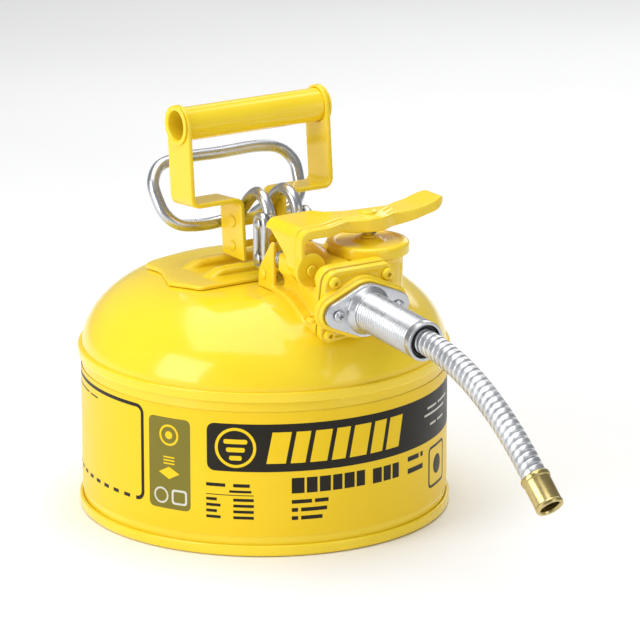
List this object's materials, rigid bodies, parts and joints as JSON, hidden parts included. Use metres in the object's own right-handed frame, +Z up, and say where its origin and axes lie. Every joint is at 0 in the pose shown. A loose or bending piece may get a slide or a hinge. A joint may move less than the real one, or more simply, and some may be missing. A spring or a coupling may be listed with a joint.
{
  "type": "safety gas can",
  "caption": "Round metal safety can for fuel: domed top, swing-free carrying handle with wire trigger, self-closing fill cap with finger lever, and flexible metal pour hose.",
  "frame": {"origin": "On the axis of the can at the underside of the bottom pan's raised centre pad, 1.8 mm above the ground", "axes": "+Z up; +X the way the can pours, towards the hose; +Y along the grip, the side that the finger tab of the lid lever points to"},
  "size_m": [0.4456, 0.242, 0.2676],
  "materials": {
    "yellow_paint": "gloss",
    "label": "semi-gloss print",
    "zinc": "bright zinc plate",
    "steel": "satin steel",
    "brass": "dull brass",
    "rubber": "matte"
  },
  "bodies": {
    "can": {"body_shell": "yellow_paint", "bottom_pan": "yellow_paint", "dome_top": "yellow_paint", "label_sheet": "label", "handle_bracket": "yellow_paint", "handle_strap_left": "yellow_paint", "handle_strap_right": "yellow_paint", "grip_tube": "yellow_paint", "trigger_pivot_rod": "yellow_paint", "handle_spacer_rod": "yellow_paint", "rocker_pin": "steel", "manifold_body": "yellow_paint", "base_screw_1": "yellow_paint", "base_screw_2": "yellow_paint", "base_screw_3": "yellow_paint", "pour_cover_plate": "yellow_paint", "cover_gasket": "rubber", "cover_screw_1": "yellow_paint", "cover_screw_2": "yellow_paint", "cover_screw_3": "yellow_paint", "cover_screw_4": "yellow_paint", "flange_gasket": "rubber", "hose_flange": "zinc", "flange_screw_1": "steel", "flange_screw_2": "steel", "mouth_ring": "rubber", "hose": "zinc", "hose_ferrule": "brass", "valve_spring": "steel", "fill_arrester": "steel", "pour_arrester": "steel", "vent_tube": "steel", "lid_hinge_pin": "steel", "lid_spring": "steel"},
    "trigger": {"trigger_wire": "zinc", "trigger_sleeve": "yellow_paint", "link_pin_upper": "steel"},
    "links": {"link_left": "zinc", "link_right": "zinc"},
    "rocker": {"rocker": "steel", "link_pin_lower": "steel"},
    "pour_valve": {"valve_stem": "steel", "stem_pin": "steel", "valve_disc": "steel", "valve_seal": "rubber"},
    "lid": {"lid_lever": "yellow_paint", "cap_relief_spring": "steel"},
    "cap": {"fill_cap": "yellow_paint", "cap_gasket": "rubber", "cap_stud": "yellow_paint"}
  },
  "joints": [
    {"name": "trigger_squeeze", "type": "hinge", "parent": "can", "child": "trigger", "pos_m": [-0.0104, 0, 0.1875], "axis": [0, 1, 0], "range_deg": [0, 9], "stiffness_Nm_per_rad": 2, "springref_deg": -8.59},
    {"name": "link_swing", "type": "hinge", "parent": "trigger", "child": "links", "pos_m": [0.0235, 0, 0.1935], "axis": [0, 1, 0], "range_deg": [-4.6, 0]},
    {"name": "rocker_turn", "type": "hinge", "parent": "can", "child": "rocker", "pos_m": [0.0365, 0, 0.1645], "axis": [0, 1, 0], "range_deg": [-21.2, 0]},
    {"name": "pour_valve_slide", "type": "slide", "parent": "can", "child": "pour_valve", "axis": [-0.9848, 0, 0.1736], "range_m": [0, 0.00294], "deforming": ["valve_spring"]},
    {"name": "lid_hinge", "type": "hinge", "parent": "can", "child": "lid", "pos_m": [0.07, -0.0215, 0.1787], "axis": [1, 0, 0], "range_deg": [0, 70], "stiffness_Nm_per_rad": 0.15, "springref_deg": -28.65, "deforming": ["lid_spring"]},
    {"name": "cap_lift", "type": "slide", "parent": "lid", "child": "cap", "axis": [0, 0, 1], "range_m": [0, 0.0025], "stiffness_N_per_m": 1200, "springref_m": -0.004, "deforming": ["cap_relief_spring"]}
  ],
  "couplings": [
    {"joint": "link_swing", "follows": "trigger_squeeze", "ratio": -0.5074},
    {"joint": "rocker_turn", "follows": "trigger_squeeze", "ratio": -2.3476},
    {"joint": "pour_valve_slide", "follows": "trigger_squeeze", "m_per_rad": 0.018658}
  ]
}
